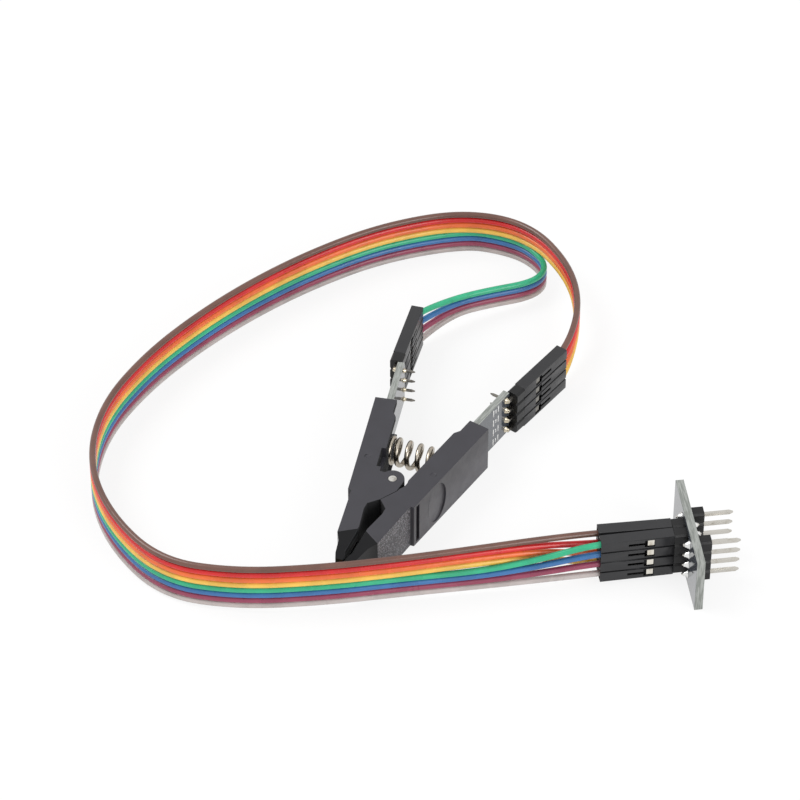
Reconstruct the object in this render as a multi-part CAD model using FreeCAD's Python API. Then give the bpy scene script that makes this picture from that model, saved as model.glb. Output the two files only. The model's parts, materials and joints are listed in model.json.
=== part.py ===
import FreeCAD, Part
import math
import os

# A spring clip that grips an eight-lead small-outline chip, with its ribbon cable and plug-in adapter.
# The clip lies on its side: the pivot is the Z axis, the tips point to -Y and the grips to +Y.
# All lengths are in millimetres and all angles in degrees.

# Clip
clip_depth = 10.4
grip_lean = 11.2
grip_root_x = 7.93
grip_end = 20.2
grip_lip = 4.3
grip_thickness = 5.0
lip_start = 16.7
lip_ramp = 1.2
corner_radius = 0.3

# Pivot
pin_radius = 0.8
pin_clearance = 0.05
ear_radius = 2.3
ear_relief = 0.75
ear_gap = 0.1
lug_x = 2.06
lug_y = 2.83
lug_root_x = 4.0
parting_y = 6.1
parting_gap = 0.06
web_top = 1.1

# Nose
step_y = 5.75
step_depth = 0.72
nose_outer_x = 4.1
nose_outer_y = 17.2
nose_inner_x = 0.8
nose_inner_y = 15.0
throat_x = 1.85
throat_top = 8.0
throat_bottom = 9.6
waist_x = 0.8
waist_y = 14.4

# Grip marks: a stop groove, a thumb dish, ejector dots and a notch
groove_y = 4.5
groove_width = 1.0
groove_depth = 0.9
groove_margin = 0.6
dish_width = 6.2
dish_height = 9.2
dish_place = 2.15
dish_deep = 0.5
dish_shallow = 0.05
dot_radius = 0.6
dot_depth = 0.12
dot_place = 3.6
dot_inset = 1.9
notch_start = 1.3
notch_end = 6.4
notch_depth = 0.9

# Board in each grip
board_thickness = 1.4
board_floor = 2.25
board_foot = 8.5
board_tongue = clip_depth - 2.5
board_width = clip_depth - 0.4
board_end = 31.2
board_clearance = 0.1
hole_radius = 0.48
pin_row = 30.1

# Comb and contacts at the tip
tip_y = 23.8
tip_outer_x = 1.7
tip_inner_x = 0.3
comb_shoulder_x = 3.0
comb_shoulder_y = 19.2
comb_knee_x = 2.25
comb_knee_y = 22.4
comb_face_x = 0.8
comb_face_y = 21.2
comb_lip_y = 22.6
peg_radius = 0.45
peg_length = 1.4
peg_margin = 1.5
peg_clearance = 0.05
lead_pitch = 1.27
lead_count = 4
slot_width = 0.62
contact_width = 0.5
contact_thickness = 0.3
contact_clearance = 0.05
contact_overlap = 1.9
contact_bend_y = 17.05
contact_knee_x = 1.15
contact_knee_y = 20.6
contact_touch_x = 0.5
contact_touch_y = 22.7
contact_end_x = 0.72
contact_end_y = 23.65

# Spring between the grips
spring_radius = 2.4
spring_wire = 1.0
spring_y = 12.2
spring_turns = 6
closed_ratio = 1.12
arcs_per_turn = 4
spring_seat_gap = 0.05
boss_radius = 1.6
boss_clearance = 0.15
boss_reach = 1.2

# Pin headers and plug housings
pitch = 2.54
ways = 4
post_width = 0.64
tail_length = 2.3
tip_width = 0.25
tip_length = 0.7
block_chamfer = 0.4
block_height = 2.5
header_offset = 1.8
header_gap = 1.3
plug_tilt = 3.5
plug_gap = 0.05
housing_length = 14.0
housing_width = 2.44
cavity = 1.9
window_start = 3.75
window_length = 1.95
window_height = 1.8
tongue_length = 3.1
tongue_width = 0.65
housing_groove_width = 0.4
housing_groove_depth = 0.22
socket_size = 1.7
socket_start = 0.6
socket_length = 7.4
socket_bore = 0.9
latch_start = 3.85
latch_length = 1.25
latch_height = 1.3
latch_inset = 0.2
neck_size = 1.0
neck_length = 0.6
barrel_length = 3.0
post_engagement = 6.0

# Adapter at the far end
adapter_x = 56.2
adapter_y = 8.5
adapter_turn = 30.2
adapter_board_width = 22.5
adapter_board_height = 12.4
adapter_board_thickness = 1.6
adapter_mid_z = 6.2
adapter_splay = 1.0
dip_row_spacing = 7.62
dip_post_length = 5.7
adapter_tail = 1.2

# Ribbon cable: the wires stand one above another, brown on top
wire_diameter = 1.25
wire_pitch = 1.3
wire_colours = ("brown", "red", "orange", "yellow", "green", "blue", "purple", "grey")
ribbon_bottom = 0.02
exit_run = 4.2
arc_share = 0.45

# Points of the ribbon's route: x, y, the lift of the bottom wire above the table,
# and how far the wires have spread from the ribbon (0) to the heights of their plug (1)
shared_route = (
    (10.6, -19.7, 1.3, 0.0),
    (-2.4, -27.5, 1.2, 0.0),
    (-17.1, -34.4, 0.8, 0.0),
    (-32.0, -36.8, 0.3, 0.0),
    (-46.4, -28.5, 0.0, 0.0),
    (-56.1, -16.9, 0.0, 0.0),
    (-60.2, -2.0, 0.0, 0.0),
    (-58.5, 13.9, 0.0, 0.0),
    (-53.9, 28.9, 0.0, 0.0),
    (-47.6, 43.0, 0.0, 0.0),
    (-39.5, 56.5, 0.0, 0.0),
    (-29.8, 68.6, 0.0, 0.0),
    (-16.8, 78.4, 0.0, 0.0),
)
far_start = ((31.6, -5.4, 1.1, 0.4), (22.8, -11.6, 1.2, 0.0))
near_start = ((32.6, -7.3, 1.1, 0.4), (23.6, -12.9, 1.2, 0.0))
right_branch = ((-2.9, 79.9, 0.0, 0.0), (8.9, 71.4, 0.0, 0.0), (15.2, 61.0, 0.0, 0.18))
left_branch = (
    (-9.5, 79.8, 0.0, 0.0),
    (-2.8, 79.2, 0.0, 0.0),
    (3.0, 75.0, 0.0, 0.0),
    (2.8, 68.4, 0.9, 0.0),
    (-4.8, 61.3, 1.8, 0.0),
    (-9.9, 55.5, 2.5, 0.2),
)

X_AXIS = FreeCAD.Vector(1, 0, 0)
Y_AXIS = FreeCAD.Vector(0, 1, 0)
Z_AXIS = FreeCAD.Vector(0, 0, 1)
ORIGIN = FreeCAD.Vector(0, 0, 0)
SIDES = {"right": 1, "left": -1}
nodes = {}


def polygon_face(points):
    """Flat face in the XY plane from corner points."""
    corners = [FreeCAD.Vector(x, y, 0) for x, y in points]
    return Part.Face(Part.makePolygon(corners + corners[:1]))


def prism(points, bottom, top):
    """Upright solid between two heights with the given corners."""
    solid = polygon_face(points).extrude(FreeCAD.Vector(0, 0, top - bottom))
    solid.translate(FreeCAD.Vector(0, 0, bottom))
    return solid


def block(x_range, y_range, z_range):
    """Box between three pairs of limits."""
    low = FreeCAD.Vector(min(x_range), min(y_range), min(z_range))
    size = [max(r) - min(r) for r in (x_range, y_range, z_range)]
    return Part.makeBox(*size, low)


def centred(middle, width):
    """Limits of a width about a middle."""
    return (middle - width / 2, middle + width / 2)


def placed(shape, turn, x, y, z=0.0):
    """The shape turned about Z and then moved."""
    result = shape.copy()
    result.rotate(ORIGIN, Z_AXIS, turn)
    result.translate(FreeCAD.Vector(x, y, z))
    return result


def on_grip(shape):
    """From the grip's frame, with y along its outer face and -x into it, to the clip's frame."""
    return placed(shape, -grip_lean, grip_root_x, 0.0)


def grip_point(x, y):
    """One point of the grip's frame in the clip's frame."""
    lean = math.radians(grip_lean)
    return (
        grip_root_x + x * math.cos(lean) + y * math.sin(lean),
        y * math.cos(lean) - x * math.sin(lean),
    )


def turned_over(shape):
    """The left jaw is the right one turned half a turn about the clip's long axis."""
    result = shape.copy()
    result.rotate(FreeCAD.Vector(0, 0, clip_depth / 2), Y_AXIS, 180)
    return result


def fused(shapes):
    """One solid from several that touch or overlap."""
    return shapes[0].multiFuse(shapes[1:]).removeSplitter()


def lead_heights():
    """Mid-heights of the chip contacts."""
    first = clip_depth / 2 - lead_pitch * (lead_count - 1) / 2
    return [first + lead_pitch * i for i in range(lead_count)]


def way_offsets():
    """Offsets of the header ways from the middle, from the bottom up."""
    return [pitch * (i - (ways - 1) / 2) for i in range(ways)]


def parting_line(shift):
    """Two points of the line where the jaws meet right of the axis, moved sideways by shift."""
    run = (lug_x, parting_y - lug_y)
    length = math.hypot(*run)
    dx = run[1] / length * shift
    dy = -run[0] / length * shift
    return (lug_x + dx, -lug_y + dy), (dx, -parting_y + dy)


def jaw_outline():
    """Side profile of the right jaw without its ears."""
    corner, apex = parting_line(parting_gap / 2)
    lean = math.radians(grip_lean)
    step_outer = (grip_root_x - step_y * math.tan(lean), -step_y)
    return [
        grip_point(0, grip_end),
        grip_point(-grip_lip, grip_end),
        grip_point(-grip_lip, lip_start),
        grip_point(-grip_thickness, lip_start - lip_ramp),
        grip_point(-grip_thickness, 0),
        corner,
        apex,
        (throat_x, -throat_top),
        (throat_x, -throat_bottom),
        (waist_x, -waist_y),
        (nose_inner_x, -nose_inner_y),
        (nose_outer_x, -nose_outer_y),
        (step_outer[0] - step_depth, -step_y),
        step_outer,
    ]


def ear_layers():
    """Heights of the right jaw's two ears, which alternate with the left jaw's."""
    layer = clip_depth / 4
    return [(0, layer - ear_gap / 2), (2 * layer + ear_gap / 2, 3 * layer - ear_gap / 2)]


def ear(bottom, top):
    """One ear with the lug that carries it."""
    corner, apex = parting_line(-parting_gap / 2)
    lug = [
        (-corner[0], corner[1]),
        (-apex[0], apex[1]),
        (throat_x, -throat_top),
        (lug_root_x, -parting_y),
        (lug_root_x, web_top),
        (0, web_top),
        (-ear_radius, 0),
    ]
    disc = Part.makeCylinder(ear_radius, top - bottom, FreeCAD.Vector(0, 0, bottom))
    return fused([disc, prism(lug, bottom, top)])


def jaw():
    """Right jaw: grip, ears, nose, board channel, contact slots and surface marks."""
    body = prism(jaw_outline(), 0, clip_depth)
    relief_radius = ear_radius + ear_relief
    body = body.cut(Part.makeCylinder(relief_radius, clip_depth))
    body = fused([body] + [ear(*layer) for layer in ear_layers()])
    bore_radius = pin_radius + pin_clearance
    cutters = [Part.makeCylinder(bore_radius, clip_depth)]
    cutters += board_channel() + contact_slots() + grip_marks() + peg_holes()
    body = body.cut(cutters[0].multiFuse(cutters[1:]))
    boss = on_grip(spring_boss())
    return fused([body, boss])


def board_channel():
    """The open pocket that takes the board's tongue and the spring, and the notch below it."""
    width = board_tongue + 2 * board_clearance
    start = board_foot - board_clearance
    inner = -grip_thickness - 1
    pocket = block((inner, -board_floor), (start, grip_end + 1), centred(clip_depth / 2, width))
    notch_floor = -grip_thickness + notch_depth
    notch = block((inner, notch_floor), (notch_start, notch_end), (-1, clip_depth / 4))
    return [on_grip(pocket), on_grip(notch)]


def spring_seat():
    """Place along the grip where the spring's axis meets the board."""
    lean = math.radians(grip_lean)
    face = board_floor + board_thickness
    return (spring_y - face * math.sin(lean)) / math.cos(lean)


def spring_boss():
    """Spigot that runs through the board and centres the spring, in the grip's frame."""
    length = board_thickness + boss_reach
    return Part.makeCylinder(
        boss_radius,
        length,
        FreeCAD.Vector(-board_floor, spring_seat(), clip_depth / 2),
        FreeCAD.Vector(-1, 0, 0),
    )


def contact_slots():
    """Slots that lead each contact from the nose to the board."""
    cutters = []
    top = board_foot + contact_overlap + contact_clearance
    floor = board_floor - contact_thickness - contact_clearance
    for z in lead_heights():
        slot = block((-board_floor, -floor), (-nose_outer_y - 1, top), centred(z, slot_width))
        cutters.append(on_grip(slot))
    return cutters


def thumb_dish():
    """Cutter of the oval thumb dish, whose floor falls towards the grip's end."""
    middle = FreeCAD.Vector(1, dish_place, clip_depth / 2)
    top = middle + FreeCAD.Vector(0, 0, dish_height / 2)
    end = middle + FreeCAD.Vector(0, dish_width / 2, 0)
    rim = Part.Wire(Part.Ellipse(top, end, middle).toShape())
    oval = Part.Face(rim).extrude(FreeCAD.Vector(-1 - 2 * dish_deep, 0, 0))
    floor = block((-grip_thickness, 0), centred(0, 2 * dish_width), (0, clip_depth))
    fall = math.degrees(math.atan((dish_deep - dish_shallow) / dish_width))
    return oval.cut(placed(floor, fall, -(dish_deep + dish_shallow) / 2, dish_place))


def grip_marks():
    """Stop groove, thumb dish and ejector dots."""
    groove = block(
        (-groove_depth, 1),
        centred(-groove_y, groove_width),
        (groove_margin, clip_depth - groove_margin),
    )
    marks = [on_grip(groove), on_grip(thumb_dish())]
    for bottom in (-1, clip_depth - dot_depth):
        foot = FreeCAD.Vector(-dot_inset, dot_place, bottom)
        marks.append(on_grip(Part.makeCylinder(dot_radius, 1 + dot_depth, foot)))
    return marks


def nose_frame():
    """Middle and outward direction of the nose's end face."""
    run = (nose_outer_x - nose_inner_x, nose_inner_y - nose_outer_y)
    length = math.hypot(*run)
    middle = FreeCAD.Vector((nose_outer_x + nose_inner_x) / 2, -(nose_outer_y + nose_inner_y) / 2, 0)
    return middle, FreeCAD.Vector(run[1] / length, -run[0] / length, 0)


def pegs(radius, length):
    """Two round pegs from the comb into the nose."""
    middle, outward = nose_frame()
    result = []
    for z in (peg_margin, clip_depth - peg_margin):
        foot = middle + FreeCAD.Vector(0, 0, z)
        result.append(Part.makeCylinder(radius, length, foot, outward * -1))
    return result


def peg_holes():
    """Holes for the comb's pegs."""
    return pegs(peg_radius + peg_clearance, peg_length + peg_clearance)


def comb():
    """Right comb: the toothed tip that keeps the contacts apart."""
    outline = [
        (nose_inner_x, -nose_inner_y),
        (nose_outer_x, -nose_outer_y),
        (comb_shoulder_x, -comb_shoulder_y),
        (comb_knee_x, -comb_knee_y),
        (tip_outer_x, -tip_y),
        (tip_inner_x, -tip_y),
        (tip_inner_x, -comb_lip_y),
        (comb_face_x, -comb_face_y),
    ]
    body = fused([prism(outline, 0, clip_depth)] + pegs(peg_radius, peg_length))
    wall = contact_thickness + 2 * contact_clearance
    path = contact_path()
    back = offset_path(path, wall / 2)
    slot = back + [(-1, -tip_y - 1), (-1, -nose_inner_y + 2)]
    cutters = [prism(slot, *centred(z, slot_width)) for z in lead_heights()]
    return body.cut(cutters[0].multiFuse(cutters[1:]))


def contact_path():
    """Middle line of a contact from the board to the tip, seen along the pivot."""
    middle = board_floor - contact_thickness / 2
    return [
        grip_point(-middle, board_foot + contact_overlap),
        grip_point(-middle, -contact_bend_y),
        (contact_knee_x, -contact_knee_y),
        (contact_touch_x, -contact_touch_y),
        (contact_end_x, -contact_end_y),
    ]


def offset_path(path, shift):
    """The path moved sideways, with mitred corners; a positive shift is to the left of travel."""
    result = []
    for i, (x, y) in enumerate(path):
        normals = []
        for a, b in ((i - 1, i), (i, i + 1)):
            if a >= 0 and b < len(path):
                run = (path[b][0] - path[a][0], path[b][1] - path[a][1])
                length = math.hypot(*run)
                normals.append((-run[1] / length, run[0] / length))
        nx = sum(n[0] for n in normals) / len(normals)
        ny = sum(n[1] for n in normals) / len(normals)
        scale = shift / (nx * nx + ny * ny)
        result.append((x + nx * scale, y + ny * scale))
    return result


def contact(z):
    """One formed contact strip."""
    path = contact_path()
    half = contact_thickness / 2
    outline = offset_path(path, half) + offset_path(path, -half)[::-1]
    return prism(outline, *centred(z, contact_width))


def board():
    """Board of the right jaw, in the grip's frame: a tongue in the channel and a wide head."""
    x_range = (-board_floor - board_thickness, -board_floor)
    shoulder = grip_end + board_clearance
    tongue = block(x_range, (board_foot, shoulder), centred(clip_depth / 2, board_tongue))
    head = block(x_range, (shoulder, board_end), centred(clip_depth / 2, board_width))
    body = fused([tongue, head])
    through = FreeCAD.Vector(-1, 0, 0)
    feet = [FreeCAD.Vector(-board_floor, pin_row, z) for z in plug_heights()]
    holes = [Part.makeCylinder(hole_radius, board_thickness, foot, through) for foot in feet]
    boss_hole = Part.makeCylinder(
        boss_radius + boss_clearance,
        board_thickness,
        FreeCAD.Vector(-board_floor, spring_seat(), clip_depth / 2),
        through,
    )
    return body.cut(boss_hole.multiFuse(holes))


def plug_heights():
    """Heights of the four header ways on the clip."""
    return [clip_depth / 2 + offset for offset in way_offsets()]


def chamfered_square(side, chamfer):
    """Corners of a square with cut corners, about its middle."""
    half = side / 2
    inner = half - chamfer
    return [
        (half, -inner), (half, inner), (inner, half), (-inner, half),
        (-half, inner), (-half, -inner), (-inner, -half), (inner, -half),
    ]


def post_places(rows):
    """Middles of a header's posts on the XY plane, ways along Y and rows along X."""
    columns = [pitch * (row - (rows - 1) / 2) for row in range(rows)]
    return [(x, y) for x in columns for y in way_offsets()]


def header_block(rows, height):
    """Header body on the XY plane with its post holes."""
    cells = []
    holes = []
    for x, y in post_places(rows):
        cell = prism(chamfered_square(pitch, block_chamfer), 0, height)
        cell.translate(FreeCAD.Vector(x, y, 0))
        cells.append(cell)
        holes.append(block(centred(x, post_width), centred(y, post_width), (0, height)))
    return fused(cells).cut(holes[0].multiFuse(holes[1:]))


def post(bottom, top, blunt=False):
    """Square post along the Z axis with pointed ends; a blunt one has a square top."""
    sections = [(tip_width, bottom), (post_width, bottom + tip_length)]
    if blunt:
        sections.append((post_width, top))
    else:
        sections += [(post_width, top - tip_length), (tip_width, top)]
    outlines = []
    for side, z in sections:
        low, high = centred(0, side)
        corners = [FreeCAD.Vector(low, low, z), FreeCAD.Vector(high, low, z)]
        corners += [FreeCAD.Vector(high, high, z), FreeCAD.Vector(low, high, z)]
        outlines.append(Part.makePolygon(corners + corners[:1]))
    return Part.makeLoft(outlines, True, True)


def posts(rows, bottom, top):
    """Pointed posts through a header on the XY plane."""
    return [placed(post(bottom, top), 0, x, y) for x, y in post_places(rows)]


def laid_along_y(shape, z):
    """A shape built up along Z, laid so that its height runs along +Y and its ways along Z."""
    result = shape.copy()
    result.rotate(ORIGIN, FreeCAD.Vector(1, 0, 0), -90)
    result.translate(FreeCAD.Vector(0, 0, z))
    return result


def laid_along_x(shape, z):
    """A shape built up along Z, laid so that its height runs along +X and its ways along Z."""
    return placed(laid_along_y(shape, z), -90, 0, 0)


def housing(window_side):
    """Plug housing with its mouth at y = 0, wires leaving at the other end, ways along Z."""
    height = pitch * (ways - 1) + housing_width
    face = housing_width / 2
    body = block(centred(0, housing_width), (0, housing_length), centred(0, height))
    window_end = window_start + window_length
    window_run = (window_start, window_end)
    tongue_run = (window_end, window_end + tongue_length)
    cutters = []
    for offset in way_offsets():
        wall = (0, window_side * pitch)
        cutters.append(block(centred(0, cavity), (-1, housing_length + 1), centred(offset, cavity)))
        cutters.append(block(wall, window_run, centred(offset, window_height)))
        cutters.append(block(wall, tongue_run, centred(offset, tongue_width)))
    for offset in way_offsets()[1:]:
        line = centred(offset - pitch / 2, housing_groove_width)
        for side in (1, -1):
            skin = (side * (face - housing_groove_depth), side * pitch)
            cutters.append(block(skin, (-1, housing_length + 1), line))
    return body.cut(cutters[0].multiFuse(cutters[1:]))


def crimp_end():
    """Distance from a housing's mouth to the rear of its crimp sockets, where the wires start."""
    return socket_start + socket_length + neck_length + barrel_length


def sockets(window_side):
    """Four crimp sockets that hold the wires in a housing, each with a latch in its window."""
    result = []
    neck_start = socket_start + socket_length
    barrel_start = neck_start + neck_length
    latch_reach = (window_side * socket_size / 2, window_side * (housing_width / 2 - latch_inset))
    latch_run = (latch_start, latch_start + latch_length)
    for offset in way_offsets():
        box = block(centred(0, socket_size), (socket_start, neck_start), centred(offset, socket_size))
        bore = block(centred(0, socket_bore), (0, post_engagement + 1), centred(offset, socket_bore))
        latch = block(latch_reach, latch_run, centred(offset, latch_height))
        neck = block(centred(0, neck_size), (neck_start, barrel_start), centred(offset, neck_size))
        foot = FreeCAD.Vector(0, barrel_start, offset)
        barrel = Part.makeCylinder(socket_size / 2, barrel_length, foot, Y_AXIS)
        result.append(fused([box.cut(bore), latch, neck, barrel]))
    return result


class Plug:
    """Frame of a plug housing: a place and a turn in the clip's frame, with its mid-height."""

    def __init__(self, x, y, turn, mid_z):
        self.x = x
        self.y = y
        self.turn = turn
        self.mid_z = mid_z

    def put(self, shape):
        """A shape of the housing's frame in the clip's frame."""
        return placed(shape, self.turn, self.x, self.y, self.mid_z)

    def point(self, distance, offset):
        """A point on the plug's middle line and one way's height."""
        turn = math.radians(self.turn)
        x = self.x - distance * math.sin(turn)
        y = self.y + distance * math.cos(turn)
        return FreeCAD.Vector(x, y, self.mid_z + offset)


def clip_plug(side):
    """The frame of the plug on one jaw, with its mouth at the header block."""
    sign = SIDES[side]
    x, y = grip_point(-header_offset, pin_row)
    turn = -sign * grip_lean - plug_tilt
    mouth = header_gap + block_height + plug_gap
    base = Plug(sign * x, y, turn, clip_depth / 2)
    start = base.point(mouth, 0)
    return base, Plug(start.x, start.y, turn, clip_depth / 2)


def header_pins(side):
    """Four bent posts: a leg into the plug and a tail through the board."""
    base, _ = clip_plug(side)
    leg_end = header_gap + block_height + plug_gap + post_engagement
    tail_end = -board_floor - board_thickness - tail_length
    half = post_width / 2
    result = []
    for offset in way_offsets():
        leg = post(-leg_end, half, blunt=True)
        leg.rotate(ORIGIN, X_AXIS, 90)
        leg.translate(FreeCAD.Vector(0, 0, offset))
        tail = post(tail_end, -header_offset + half, blunt=True)
        tail.rotate(ORIGIN, Y_AXIS, 90)
        tail.translate(FreeCAD.Vector(0, pin_row, clip_depth / 2 + SIDES[side] * offset))
        tail = on_grip(tail)
        if side == "left":
            tail = turned_over(tail)
        result.append(fused([base.put(leg), tail]))
    return result


def adapter_point(x, y):
    """One point of the adapter's frame, with x along its posts, in the clip's frame."""
    turn = math.radians(adapter_turn)
    return (
        adapter_x + x * math.cos(turn) - y * math.sin(turn),
        adapter_y + x * math.sin(turn) + y * math.cos(turn),
    )


def on_adapter(shape):
    """From the adapter's frame to the clip's frame."""
    return placed(shape, adapter_turn, adapter_x, adapter_y)


def adapter_plug(row):
    """The frame of a plug at the adapter; row is 1 for the far one and -1 for the near one."""
    x, y = adapter_point(-block_height - plug_gap, row * pitch / 2)
    return Plug(x, y, adapter_turn + 90 - row * adapter_splay, adapter_mid_z)


def adapter_board():
    """Adapter board, standing on its long edge."""
    thickness = (0, adapter_board_thickness)
    height = centred(adapter_mid_z, adapter_board_height)
    body = block(thickness, centred(0, adapter_board_width), height)
    rows = (-dip_row_spacing / 2, -pitch / 2, pitch / 2, dip_row_spacing / 2)
    holes = []
    for y in rows:
        for offset in way_offsets():
            foot = FreeCAD.Vector(0, y, adapter_mid_z + offset)
            holes.append(Part.makeCylinder(hole_radius, adapter_board_thickness, foot, X_AXIS))
    return body.cut(holes[0].multiFuse(holes[1:]))


def cable_header():
    """Double-row header on the adapter's cable side: its block and its posts."""
    body = placed(laid_along_x(header_block(2, block_height), adapter_mid_z), 0, -block_height, 0)
    start = -block_height - plug_gap - post_engagement
    end = adapter_board_thickness + adapter_tail
    pins = [placed(laid_along_x(p, adapter_mid_z), 0, 0, 0) for p in posts(2, start, end)]
    return body, pins


def dip_strip(row):
    """Single-row strip for the chip socket: its block and its posts."""
    y = row * dip_row_spacing / 2
    start = adapter_board_thickness
    body = placed(laid_along_x(header_block(1, block_height), adapter_mid_z), 0, start, y)
    end = start + block_height + dip_post_length
    pins = [placed(laid_along_x(p, adapter_mid_z), 0, 0, y) for p in posts(1, -adapter_tail, end)]
    return body, pins


def coil_point(turn, turns, reach):
    """Point of the coil's middle line after some turns; both end turns are closed."""
    closed = spring_wire * closed_ratio
    length = 2 * reach - spring_wire
    rise = (length - 2 * closed) / (turns - 2)
    if turn < 1:
        height = closed * turn
    elif turn > turns - 1:
        height = length - closed * (turns - turn)
    else:
        height = closed + rise * (turn - 1)
    angle = 2 * math.pi * turn
    x = spring_wire / 2 - reach + height
    y = spring_y + spring_radius * math.cos(angle)
    return FreeCAD.Vector(x, y, clip_depth / 2 + spring_radius * math.sin(angle))


def spring():
    """Compression spring along X, swept along a chain of arcs."""
    reach = spring_reach()
    arcs = spring_turns * arcs_per_turn
    edges = []
    for i in range(arcs):
        stations = [(i + part) / arcs_per_turn for part in (0, 0.5, 1)]
        edges.append(Part.Arc(*[coil_point(s, spring_turns, reach) for s in stations]).toShape())
    start = edges[0].valueAt(edges[0].FirstParameter)
    along = edges[0].tangentAt(edges[0].FirstParameter)
    section = Part.Wire(Part.makeCircle(spring_wire / 2, start, along))
    return Part.Wire(edges).makePipeShell([section], True, True)


def spring_reach():
    """Half the spring's length: it stops where its lower edge meets the leaning board."""
    lean = math.radians(grip_lean)
    lowest = spring_y - spring_radius - spring_wire / 2
    board_x = grip_root_x + lowest * math.tan(lean) - (board_floor + board_thickness) / math.cos(lean)
    return board_x - spring_seat_gap


def route_point(place, level, plug_height):
    """A point of the ribbon's route for the wire at one level above the bottom wire."""
    x, y, lift, spread = place
    ribbon_height = ribbon_bottom + wire_diameter / 2 + lift + level * wire_pitch
    return FreeCAD.Vector(x, y, (1 - spread) * ribbon_height + spread * plug_height)


def wire_route(index):
    """Points of one wire from the adapter to the clip; index 0 is the top wire of the ribbon."""
    level = len(wire_colours) - 1 - index
    offset = way_offsets()[ways - 1 - index % ways]
    upper = index < ways
    start = adapter_plug(1 if upper else -1)
    _, end = clip_plug("right" if upper else "left")
    first = crimp_end()
    opening = far_start if upper else near_start
    branch = right_branch if upper else left_branch
    middle = [route_point(p, level, start.mid_z + offset) for p in opening]
    middle += [route_point(p, level, 0) for p in shared_route]
    middle += [route_point(p, level, end.mid_z + offset) for p in branch]
    return (
        [start.point(first, offset), start.point(first + exit_run, offset)]
        + middle
        + [end.point(first + exit_run, offset), end.point(first, offset)]
    )


def wire_solid(name, points):
    """Round tube along straight runs joined by tangent arcs."""
    edges = []
    radii = []
    cursor = points[0]
    for before, corner, after in zip(points, points[1:], points[2:]):
        incoming = corner - before
        outgoing = after - corner
        half_turn = incoming.getAngle(outgoing) / 2
        trim = arc_share * min(incoming.Length, outgoing.Length)
        radii.append(trim / math.tan(half_turn))
        arc_start = corner - incoming.normalize() * trim
        arc_end = corner + outgoing.normalize() * trim
        inward = (arc_start + arc_end) * 0.5 - corner
        sagitta = radii[-1] * (1 / math.cos(half_turn) - 1)
        arc_middle = corner + inward.normalize() * sagitta
        edges.append(Part.LineSegment(cursor, arc_start).toShape())
        edges.append(Part.Arc(arc_start, arc_middle, arc_end).toShape())
        cursor = arc_end
    edges.append(Part.LineSegment(cursor, points[-1]).toShape())
    path = Part.Wire(edges)
    along = points[1] - points[0]
    section = Part.Wire(Part.makeCircle(wire_diameter / 2, points[0], along))
    tube = path.makePipeShell([section], True, False)
    area = math.pi * wire_diameter ** 2 / 4
    ratio = round(tube.Volume / (area * path.Length), 4)
    smallest = [round(r, 1) for r in radii]
    print(name, "length", round(path.Length, 1), "volume ratio", ratio, "radii", smallest)
    return tube


def add(name, *solids):
    """Keep a node of one or more solids."""
    nodes[name] = solids[0] if len(solids) == 1 else Part.makeCompound(list(solids))


def build_jaw_side(side):
    """Everything that one jaw carries."""
    flip = turned_over if side == "left" else (lambda shape: shape)
    add("jaw_" + side, flip(jaw()))
    add("comb_" + side, flip(comb()))
    for number, z in enumerate(lead_heights(), 1):
        add("contact_" + side + "_" + str(number), flip(contact(z)))
    add("board_" + side, flip(on_grip(board())))
    base, plug = clip_plug(side)
    header = placed(laid_along_y(header_block(1, block_height), 0), 0, 0, header_gap)
    add("header_" + side, base.put(header))
    add("header_pins_" + side, *header_pins(side))
    add("plug_" + side, plug.put(housing(1)))
    add("sockets_" + side, *[plug.put(s) for s in sockets(1)])


def build_adapter():
    """Adapter board with its headers, and the two plugs on it."""
    add("adapter_board", on_adapter(adapter_board()))
    header, pins = cable_header()
    add("adapter_header", on_adapter(header))
    add("adapter_header_pins", *[on_adapter(p) for p in pins])
    for name, row in (("far", 1), ("near", -1)):
        strip, pins = dip_strip(row)
        add("dip_strip_" + name, on_adapter(strip))
        add("dip_pins_" + name, *[on_adapter(p) for p in pins])
        plug = adapter_plug(row)
        add("adapter_plug_" + name, plug.put(housing(row)))
        add("adapter_sockets_" + name, *[plug.put(s) for s in sockets(row)])


def build_wires():
    """The eight wires of the ribbon."""
    for index, colour in enumerate(wire_colours):
        add("wire_" + colour, wire_solid("wire_" + colour, wire_route(index)))


for jaw_side in SIDES:
    build_jaw_side(jaw_side)
add("pivot_pin", Part.makeCylinder(pin_radius, clip_depth))
add("spring", spring())
build_adapter()
build_wires()

os.makedirs("parts", exist_ok=True)
for node_name, node_shape in nodes.items():
    node_shape.exportStep("parts/" + node_name + ".step")
    print(node_name, "valid", node_shape.isValid(), "volume", round(node_shape.Volume, 2))
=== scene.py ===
"""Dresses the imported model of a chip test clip, its eight-wire ribbon and its socket adapter.

The clip lies on its side with its pivot along Z, its tips to -Y and its grips to +Y.
Every length is in metres.
"""

import json
import logging
import math
from dataclasses import dataclass, field
from enum import Enum

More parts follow.
